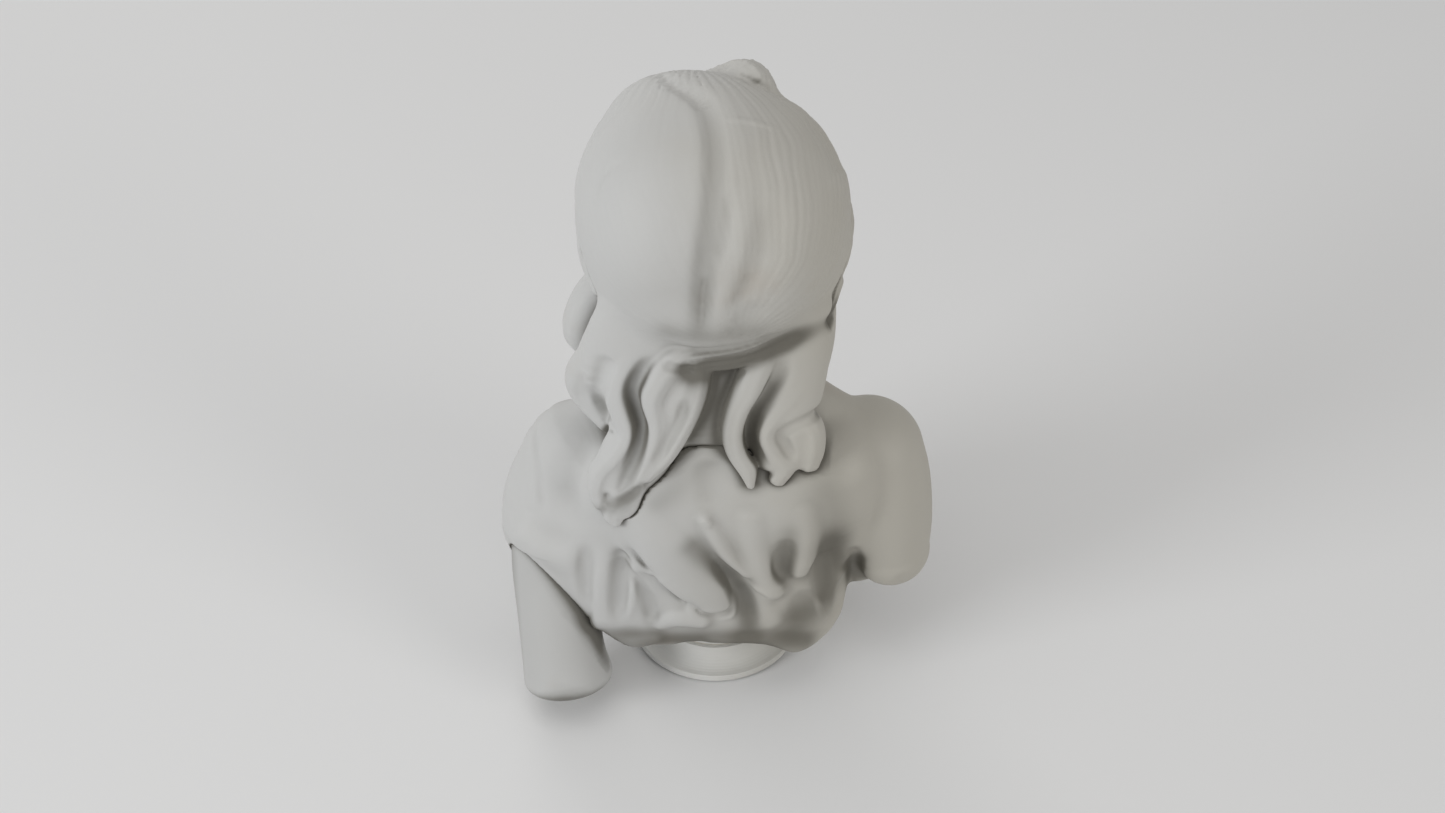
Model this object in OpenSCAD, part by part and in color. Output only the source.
// Draped marble bust on a turned round socle: carved blocks, thin beds, pins and a tie rod.
// Frame: origin under the centre of the socle, +Z up, the bust faces -Y, its left is +X.

/* [Torso] */
// Width across the two shoulders, drapery included
shoulder_w = 390; // [320:1:470]
// Depth of the chest and back at the bust line
chest_depth = 226; // [190:1:260]
// Height of the torso block from its lower edge to the neck seat
torso_h = 252; // [210:0.1:305]
// Width of the torso block at its lower edge
hem_w = 228; // [190:1:260]
// Thickness of the shoulders at the arm joint
shoulder_d = 106; // [90:1:120]
// Depth of the hollow carved in the underside
hollow_d = 13; // [8:1:24]

/* [Head] */
// Height from the chin to the top of the hair
head_h = 212; // [180:1:250]
// Width over the hair
hair_w = 232; // [200:1:270]
// Depth from the hair at the back to the forehead
hair_depth = 214; // [180:1:250]
// Width of the neck
neck_w = 114; // [95:0.1:138]
// Length of the neck between the seat and the chin
neck_h = 70; // [55:1:90]
// Turn of the head towards the left shoulder
head_turn = 20; // [0:1:30]
// Length of the hair tails below the nape
tail_l = 190; // [150:1:220]
// Thickness of the hair tails
tail_t = 30; // [22:1:38]

/* [Arms] */
// Length of the left arm stump from the shoulder joint to its cut end
left_arm_l = 222; // [190:1:228]
// Length of the right arm stump
right_arm_l = 146; // [120:1:175]
// Thickness of the bare upper arm
arm_d = 84; // [70:0.1:101]
// Backward lean of the left arm
left_arm_back = 20; // [10:1:26]
// Length of the drapery sleeve over the left arm
sleeve_l = 118; // [100:1:140]
// Depth that the arm block enters the sleeve
arm_seat_d = 30; // [20:1:40]

/* [Socle] */
// Diameter of the round foot
foot_d = 162; // [140:1:190]
// Height of the foot
foot_h = 28; // [24:1:38]
// Height of the waisted stem
stem_h = 52; // [42:1:70]
// Diameter of the top of the stem
stem_top_d = 112; // [96:1:124]
// Diameter of the waist of the stem
waist_d = 88; // [76:1:96]
// Diameter of the foot where the stem stands on it
foot_top_d = 126; // [112:1:136]
// Height of the upright edge round the foot
edge_h = 7; // [4:1:12]
// Radius of the roll at the top of the stem
roll_r = 5; // [3:1:7]
// Thickness of the felt pad
felt_t = 2; // [1:0.5:4]

/* [Fixings] */
// Diameter of the tie rod
rod_d = 12; // [8:0.1:16]
// Length of the threaded sleeve set into the torso
anchor_l = 60; // [40:1:80]
// Height of the tie rod nut
nut_h = 10; // [7:1:14]
// Diameter of the head dowel
head_dowel_d = 16; // [10:1:22]
// Length of the head dowel
head_dowel_l = 110; // [80:1:120]
// Diameter of the two arm dowels
arm_dowel_d = 10; // [6:1:14]
// Length of the arm dowels
arm_dowel_l = 80; // [50:1:90]
// Diameter of the locating pins in the socle
pin_d = 8; // [5:1:11]
// Length of the locating pins
pin_l = 32; // [20:1:36]

/* [Fits] */
// Thickness of the mortar beds
bed_t = 2; // [1:0.5:3]
// Radial clearance round dowels and pins
pin_gap = 0.5; // [0.3:0.1:1]
// Radial clearance of the rod in its bores
rod_gap = 1; // [0.5:0.1:2]
// Gap between the carved blocks where they meet
block_gap = 0.4; // [0.3:0.1:1]

/* [Hidden] */

marble = [0.74, 0.73, 0.69];
mortar = [0.82, 0.80, 0.74];
steel = [0.62, 0.63, 0.65];
bronze = [0.60, 0.47, 0.27];
felt = [0.18, 0.20, 0.18];

round_fn = 64;
ring_n = 44;

// Levels from the ground up
foot_z = felt_t;
foot_bed_z = foot_z + foot_h;
stem_z = foot_bed_z + bed_t;
bust_bed_z = stem_z + stem_h;
seat_z = bust_bed_z + bed_t;
hem_z = seat_z - hollow_d;
neck_z = hem_z + torso_h;
chin_z = neck_z + neck_h;
crown_z = chin_z + head_h;
head_mid_z = chin_z + head_h / 2;

// Socle
foot_top_r = foot_top_d / 2;
quirk = 3;
edge_round = 1;

// Torso
half_w = shoulder_w / 2;
half_chest = chest_depth / 2;
shoulder_r = shoulder_d / 2;
shoulder_x = half_w - shoulder_r + 3;
shoulder_y = 26;
shoulder_z = neck_z - shoulder_r - 21;
hollow_r = stem_top_d / 2 + bed_t + 3;

// Head seat: a round tenon under the neck enters a socket of the torso
neck_y = 12;
tenon_r = neck_w / 2 - 15;
tenon_h = 38;
tenon_z = neck_z - 28 - tenon_h;
socket_z = tenon_z - bed_t;

// Left arm: its block enters a round recess at the end of the sleeve
arm_r = arm_d / 2;
arm_in = 3;
arm_pins_x = arm_r * 0.45;

// Fixings
rod_r = rod_d / 2;
washer_r = rod_d * 1.5;
washer_t = rod_d / 4;
spring_t = rod_d / 5;
spring_r = rod_d * 0.88;
nut_r = rod_d * 0.9;
recess_r = washer_r + 3;
recess_h = washer_t + spring_t + nut_h + 4;
washer_z = foot_z + recess_h - washer_t;
spring_z = washer_z - spring_t;
nut_z = spring_z - nut_h;
rod_z = nut_z - 2;
anchor_z = seat_z + 4;
anchor_r = rod_r + 5;
thread_gap = 0.05;
rod_top_z = anchor_z + anchor_l - 4;
bust_pin_x = waist_d / 2 - pin_d - 6;
foot_pin_y = waist_d / 2 - pin_d - 4;

// Smooth value between stations, each station being [place, value, value, ...]
function blend4(a, b, c, d, t) =
    0.5 * ((2 * b) + (c - a) * t + (2 * a - 5 * b + 4 * c - d) * t * t
    + (3 * b - a - 3 * c + d) * t * t * t);
function station(s, i) = s[max(0, min(len(s) - 1, i))];
function between(s, i, t) = blend4(station(s, i - 1), station(s, i), station(s, i + 1), station(s, i + 2), t);
function smooth_stations(s, steps) = [
    for (i = [0 : len(s) - 2]) for (k = [0 : steps - 1]) between(s, i, k / steps),
    s[len(s) - 1]
];

// Points of a rounded section: half width, front and back reach, squareness
function power(v, p) = sign(v) * pow(abs(v), p);
function section(hw, front, back, p, n) = [
    for (k = [0 : n - 1])
        let (a = 360 * k / n)
        [hw * power(cos(a), p), (front + back) / 2 + (back - front) / 2 * power(sin(a), p)]
];

// Closed skin over a list of rings that all have n points
module skin(rings, n) {
    m = len(rings);
    points = [for (r = rings) for (p = r) p];
    sides = [
        for (i = [0 : m - 2]) for (k = [0 : n - 1])
            let (a = i * n + k)
            let (b = i * n + (k + 1) % n)
            each [[a, b + n, b], [a, a + n, b + n]]
    ];
    low_end = [[for (k = [0 : n - 1]) k]];
    high_end = [[for (k = [n - 1 : -1 : 0]) (m - 1) * n + k]];
    polyhedron(points = points, faces = concat(sides, low_end, high_end), convexity = 6);
}

// Upright body from stations [z, half width, centre x, front y, back y], grown by g all round
module upright(stations, steps, n, squareness, g = 0) {
    rings = [
        for (s = smooth_stations(stations, steps))
            [for (p = section(s[1] + g, s[3] - g, s[4] + g, squareness, n)) [p[0] + s[2], p[1], s[0]]]
    ];
    skin(rings, n);
}

// Lock of hair along stations [x, y, z, half width, half thickness], flat towards the back
module lock(stations, steps, n, g = 0) {
    path = smooth_stations(stations, steps);
    rings = [
        for (i = [0 : len(path) - 1])
            let (s = path[i])
            let (before = path[max(0, i - 1)])
            let (after = path[min(len(path) - 1, i + 1)])
            let (run = [after[0] - before[0], after[1] - before[1], after[2] - before[2]])
            let (along = run / norm(run))
            let (side_raw = cross(along, [0, 1, 0]))
            let (side = side_raw / norm(side_raw))
            let (out = cross(along, side))
            [
                for (k = [0 : n - 1])
                    let (a = 360 * k / n)
                    [s[0], s[1], s[2]] + side * (s[3] + g) * cos(a) + out * (s[4] + g) * sin(a)
            ]
    ];
    skin(rings, n);
}

// Several carved shapes taken from one block
module one_block() {
    resize([0, 0, 0]) children();
}

module trunk() {
    w = hem_w / 2;
    upright([
        [hem_z, w - 12, 0, -half_chest * 0.66, half_chest * 0.80],
        [hem_z + torso_h * 0.04, w, 0, -half_chest * 0.76, half_chest * 0.90],
        [hem_z + torso_h * 0.20, w + 10, 0, -half_chest * 0.94, half_chest * 0.93],
        [hem_z + torso_h * 0.38, w + 18, 0, -half_chest, half_chest * 0.95],
        [hem_z + torso_h * 0.58, w + 26, 0, -half_chest * 0.90, half_chest * 0.97],
        [hem_z + torso_h * 0.74, w + 16, 0, -half_chest * 0.66, half_chest * 0.93],
        [hem_z + torso_h * 0.86, w - 14, 0, -half_chest * 0.46, half_chest * 0.82],
        [hem_z + torso_h * 0.94, neck_w / 2 + 22, 0, -half_chest * 0.40, half_chest * 0.70],
        [neck_z, neck_w / 2 + 2, 0, neck_y - neck_w / 2 - 2, neck_y + neck_w / 2 + 4]
    ], 3, ring_n, 0.86);
}

// Arm in its own frame: from the shoulder joint at the origin down to the cut end
module arm_form(top_r, low_r, reach, end_round) {
    upright([
        [-reach, low_r - end_round, 0, end_round - low_r, low_r - end_round],
        [-reach + end_round * 0.3, low_r - end_round * 0.3, 0,
            end_round * 0.3 - low_r, low_r - end_round * 0.3],
        [-reach + end_round, low_r, 0, -low_r, low_r],
        [-reach * 0.6, (top_r + low_r * 2) / 3, 0, -(top_r + low_r * 2) / 3, (top_r + low_r * 2) / 3],
        [-reach * 0.3, (top_r * 2 + low_r) / 3, 0, -(top_r * 2 + low_r) / 3, (top_r * 2 + low_r) / 3],
        [0, top_r, 0, -top_r, top_r],
        [top_r * 0.5, top_r * 0.87, 0, -top_r * 0.87, top_r * 0.87],
        [top_r * 0.87, top_r * 0.5, 0, -top_r * 0.5, top_r * 0.5],
        [top_r * 0.98, top_r * 0.2, 0, -top_r * 0.2, top_r * 0.2]
    ], 2, 32, 1);
}

module at_left_arm() {
    translate([shoulder_x, shoulder_y, shoulder_z]) rotate([left_arm_back, arm_in, 0]) children();
}

module at_right_arm() {
    translate([-shoulder_x, shoulder_y, shoulder_z]) rotate([4, -arm_in, 0]) children();
}

module head_forms(g = 0) {
    half_hair = hair_w / 2;
    back = hair_depth * 0.52;
    front = -hair_depth * 0.40;
    // neck
    upright([
        [neck_z - 28 - g, neck_w / 2 - 6, 0, neck_y - neck_w / 2 + 6, neck_y + neck_w / 2 - 6],
        [neck_z + 10, neck_w / 2, 0, neck_y - neck_w / 2, neck_y + neck_w / 2],
        [chin_z - 10, neck_w / 2 - 2, 4, neck_y - neck_w / 2 - 4, neck_y + neck_w / 2 + 6],
        [head_mid_z, neck_w / 2, 4, neck_y - neck_w / 2, neck_y + neck_w / 2]
    ], 3, 32, 1, g);
    rotate([0, 0, head_turn]) {
        // face, from under the chin to the hairline
        upright([
            [chin_z - 4, 20, 0, front + 6, front + 52],
            [chin_z + 8, 36, 0, front - 4, front + 90],
            [chin_z + head_h * 0.16, 52, 0, front - 8, 20],
            [chin_z + head_h * 0.36, 66, 0, front - 10, 40],
            [chin_z + head_h * 0.62, 70, 0, front - 9, 50],
            [chin_z + head_h * 0.80, 60, 0, front + 6, 40]
        ], 3, 32, 0.9, g);
        // nose
        upright([
            [chin_z + head_h * 0.26, 15, 0, front - 22, front + 6],
            [chin_z + head_h * 0.31, 12, 0, front - 25, front + 6],
            [chin_z + head_h * 0.46, 7, 0, front - 11, front + 6]
        ], 3, 16, 1, g);
        // hair over the skull and the roll of hair round the face
        upright([
            [chin_z + head_h * 0.03, half_hair * 0.66, 0, -24, back * 0.66],
            [chin_z + head_h * 0.12, half_hair * 0.84, 0, -48, back * 0.84],
            [chin_z + head_h * 0.30, half_hair * 0.96, 0, front * 0.80, back * 0.95],
            [chin_z + head_h * 0.50, half_hair, 0, front * 0.92, back],
            [chin_z + head_h * 0.68, half_hair * 0.95, 0, front * 0.98, back * 0.98],
            [chin_z + head_h * 0.83, half_hair * 0.80, 0, front * 0.88, back * 0.86],
            [chin_z + head_h * 0.94, half_hair * 0.54, 0, front * 0.60, back * 0.60],
            [crown_z, half_hair * 0.18, 0, front * 0.20, back * 0.20]
        ], 3, ring_n, 1, g);
    }
    // left tail, in two waves
    tail_z = chin_z + head_h * 0.08;
    tail_y = half_chest * 0.78;
    lock([
        [34, tail_y - 22, tail_z + 12, 34, tail_t * 0.6],
        [64, tail_y - 6, tail_z - tail_l * 0.18, 54, tail_t * 0.62],
        [66, tail_y, tail_z - tail_l * 0.38, 54, tail_t * 0.58],
        [62, tail_y + 4, tail_z - tail_l * 0.56, 36, tail_t * 0.52],
        [84, tail_y + 8, tail_z - tail_l * 0.74, 32, tail_t * 0.48],
        [84, tail_y + 12, tail_z - tail_l * 0.90, 20, tail_t * 0.40],
        [80, tail_y + 14, tail_z - tail_l, 6, tail_t * 0.16]
    ], 2, 20, g);
    // right tail, shorter
    lock([
        [-36, tail_y - 22, tail_z + 12, 34, tail_t * 0.6],
        [-54, tail_y - 8, tail_z - tail_l * 0.20, 42, tail_t * 0.62],
        [-54, tail_y, tail_z - tail_l * 0.42, 40, tail_t * 0.58],
        [-54, tail_y + 4, tail_z - tail_l * 0.60, 36, tail_t * 0.5],
        [-50, tail_y + 8, tail_z - tail_l * 0.76, 14, tail_t * 0.2]
    ], 2, 20, g);
    // curl that falls in front of the left shoulder
    lock([
        [72, -2, chin_z + head_h * 0.30, 20, 20],
        [88, -6, chin_z + head_h * 0.16, 22, 22],
        [112, -12, chin_z, 26, 26],
        [112, -16, chin_z - head_h * 0.16, 22, 24],
        [104, -20, chin_z - head_h * 0.24, 8, 10]
    ], 2, 16, g);
}

module neck_tenon(r, top) {
    translate([0, neck_y, tenon_z]) cylinder(r = r, h = top - tenon_z, $fn = round_fn);
}

// The stone of the head, without its dowel hole
module head_block(g = 0) {
    head_forms(g);
    neck_tenon(tenon_r + g, neck_z);
}

module left_arm_block(g = 0) {
    at_left_arm() difference() {
        arm_form(arm_r + 5 + g, arm_r - 2 + g, left_arm_l + g, 10);
        translate([0, 0, arm_seat_d - sleeve_l + g]) cylinder(r = arm_d * 2, h = arm_d * 3, $fn = 24);
    }
}

module dowel_at(r, l) {
    translate([0, 0, -l / 2]) cylinder(r = r, h = l, $fn = round_fn);
}

module head_dowel_place() {
    translate([0, neck_y, tenon_z]) children();
}

module arm_dowel_places() {
    at_left_arm() for (side = [-1, 1])
        translate([side * arm_pins_x, 0, arm_seat_d - sleeve_l + bed_t / 2]) children();
}

module bust_pin_places() {
    for (side = [-1, 1]) translate([side * bust_pin_x, 0, bust_bed_z + bed_t / 2]) children();
}

module foot_pin_places() {
    for (side = [-1, 1]) translate([0, side * foot_pin_y, foot_bed_z + bed_t / 2]) children();
}

module pin_hole(r, l) {
    dowel_at(r + pin_gap, l + 2);
}

// Clear bore for the tie rod
module rod_bore(z, l) {
    translate([0, 0, z]) cylinder(r = rod_r + rod_gap, h = l, $fn = round_fn);
}

module torso() {
    color(marble) difference() {
        one_block() difference() {
            union() {
                trunk();
                at_left_arm() arm_form(shoulder_r, arm_r + 10, sleeve_l, 4);
                at_right_arm() arm_form(shoulder_r, arm_r + 2, right_arm_l, 12);
                // slopes from the neck to the shoulders
                for (side = [-1, 1]) lock([
                    [side * 20, neck_y, neck_z - 46, 40, 40],
                    [side * 66, neck_y + 6, neck_z - 58, 44, 38],
                    [side * (shoulder_x - 20), shoulder_y, shoulder_z + 2, 44, 46]
                ], 2, 24);
            }
            head_block(block_gap);
            left_arm_block(block_gap);
        }
        // socket of the neck tenon
        translate([0, neck_y, socket_z]) cylinder(r = tenon_r + bed_t, h = neck_z - socket_z, $fn = round_fn);
        // dowel holes
        head_dowel_place() pin_hole(head_dowel_d / 2, head_dowel_l);
        arm_dowel_places() pin_hole(arm_dowel_d / 2, arm_dowel_l);
        // room for the arm bed
        at_left_arm() translate([0, 0, arm_seat_d - sleeve_l])
            cylinder(r = arm_r - 4, h = bed_t, $fn = round_fn);
        // hollow under the torso, pin holes and the hole of the anchor
        translate([0, 0, hem_z - 1]) cylinder(r = hollow_r, h = hollow_d + 1, $fn = round_fn);
        rod_bore(seat_z - 1, anchor_z - seat_z + 2);
        translate([0, 0, anchor_z]) cylinder(r = anchor_r + pin_gap, h = anchor_l + 3, $fn = round_fn);
        bust_pin_places() pin_hole(pin_d / 2, pin_l);
    }
}

module head() {
    color(marble) difference() {
        one_block() head_block();
        head_dowel_place() pin_hole(head_dowel_d / 2, head_dowel_l);
    }
}

module left_arm() {
    color(marble) difference() {
        one_block() left_arm_block();
        arm_dowel_places() pin_hole(arm_dowel_d / 2, arm_dowel_l);
    }
}

// Hollow quarter sweep of a turned profile, from the wide low end to the narrow high end
function sweep_arc(narrow_r, wide_r, low_z, high_z) = [
    for (a = [0 : 10 : 90])
        [narrow_r + (wide_r - narrow_r) * (1 - sin(a)), low_z + (high_z - low_z) * (1 - cos(a))]
];

// Turned stem: a narrow fillet, a waist swept up from the foot, and a roll under the torso
module socle_stem() {
    top_r = stem_top_d / 2;
    waist_r = waist_d / 2;
    low_r = foot_top_r - quirk;
    neck = top_r - roll_r - waist_r;
    waist_h = stem_h - quirk - roll_r * 2;
    low_h = waist_h * 0.55;
    color(marble) difference() {
        translate([0, 0, stem_z]) rotate_extrude($fn = round_fn) polygon(concat(
            [[0, 0], [low_r, 0], [low_r, quirk]],
            sweep_arc(waist_r, low_r, quirk, quirk + low_h),
            [for (a = [80 : -10 : 0])
                [waist_r + neck * (1 - sin(a)), quirk + waist_h - (waist_h - low_h) * cos(a)]],
            [for (a = [-90 : 15 : 90])
                [top_r - roll_r + roll_r * cos(a), stem_h - roll_r + roll_r * sin(a)]],
            [[0, stem_h]]
        ));
        rod_bore(stem_z - 1, stem_h + 2);
        bust_pin_places() pin_hole(pin_d / 2, pin_l);
        foot_pin_places() pin_hole(pin_d / 2, pin_l);
    }
}

// Turned foot: a narrow upright edge and a hollow sweep up to the stem
module socle_foot() {
    r = foot_d / 2;
    color(marble) difference() {
        translate([0, 0, foot_z]) rotate_extrude($fn = round_fn) polygon(concat(
            [[0, 0], [r - edge_round, 0], [r, edge_round]],
            [[r, edge_h - edge_round], [r - edge_round, edge_h]],
            sweep_arc(foot_top_r, r - quirk, edge_h, foot_h),
            [[0, foot_h]]
        ));
        translate([0, 0, foot_z - 1]) cylinder(r = recess_r, h = recess_h + 1, $fn = round_fn);
        rod_bore(foot_z, foot_h + 1);
        foot_pin_places() pin_hole(pin_d / 2, pin_l);
    }
}

module head_bed() {
    color(mortar) translate([0, neck_y, socket_z]) difference() {
        cylinder(r = tenon_r, h = bed_t, $fn = round_fn);
        translate([0, 0, -1]) cylinder(r = head_dowel_d / 2 + pin_gap, h = bed_t + 2, $fn = round_fn);
    }
}

module arm_bed() {
    color(mortar) difference() {
        at_left_arm() translate([0, 0, arm_seat_d - sleeve_l])
            cylinder(r = arm_r - 5, h = bed_t, $fn = round_fn);
        arm_dowel_places() pin_hole(arm_dowel_d / 2, bed_t);
    }
}

module bust_bed() {
    color(mortar) difference() {
        translate([0, 0, bust_bed_z]) cylinder(r = stem_top_d / 2 - roll_r, h = bed_t, $fn = round_fn);
        rod_bore(bust_bed_z - 1, bed_t + 2);
        bust_pin_places() pin_hole(pin_d / 2, bed_t);
    }
}

module foot_bed() {
    color(mortar) difference() {
        translate([0, 0, foot_bed_z]) cylinder(r = foot_top_r - quirk - 1, h = bed_t, $fn = round_fn);
        rod_bore(foot_bed_z - 1, bed_t + 2);
        foot_pin_places() pin_hole(pin_d / 2, bed_t);
    }
}

module head_dowel() {
    color(steel) head_dowel_place() dowel_at(head_dowel_d / 2, head_dowel_l);
}

module arm_dowels() {
    color(steel) arm_dowel_places() dowel_at(arm_dowel_d / 2, arm_dowel_l);
}

module bust_pins() {
    color(steel) bust_pin_places() dowel_at(pin_d / 2, pin_l);
}

module foot_pins() {
    color(steel) foot_pin_places() dowel_at(pin_d / 2, pin_l);
}

module tie_rod() {
    color(steel) translate([0, 0, rod_z]) cylinder(r = rod_r, h = rod_top_z - rod_z, $fn = round_fn);
}

module rod_anchor() {
    color(bronze) translate([0, 0, anchor_z]) difference() {
        cylinder(r = anchor_r, h = anchor_l, $fn = round_fn);
        translate([0, 0, -1]) cylinder(r = rod_r + thread_gap, h = anchor_l - 1, $fn = round_fn);
    }
}

module rod_washer() {
    color(steel) translate([0, 0, washer_z]) difference() {
        cylinder(r = washer_r, h = washer_t, $fn = round_fn);
        translate([0, 0, -1]) cylinder(r = rod_r + rod_gap / 2, h = washer_t + 2, $fn = round_fn);
    }
}

module spring_washer() {
    color(steel) translate([0, 0, spring_z]) difference() {
        cylinder(r = spring_r, h = spring_t, $fn = round_fn);
        translate([0, 0, -1]) cylinder(r = rod_r + rod_gap / 4, h = spring_t + 2, $fn = round_fn);
    }
}

module rod_nut() {
    color(steel) translate([0, 0, nut_z]) difference() {
        cylinder(r = nut_r, h = nut_h, $fn = 6);
        translate([0, 0, -1]) cylinder(r = rod_r + thread_gap, h = nut_h + 2, $fn = round_fn);
    }
}

module felt_pad() {
    color(felt) cylinder(r = foot_d / 2 - 3, h = felt_t, $fn = round_fn);
}

torso();
head();
left_arm();
socle_stem();
socle_foot();
head_bed();
arm_bed();
bust_bed();
foot_bed();
head_dowel();
arm_dowels();
bust_pins();
foot_pins();
tie_rod();
rod_anchor();
rod_washer();
spring_washer();
rod_nut();
felt_pad();
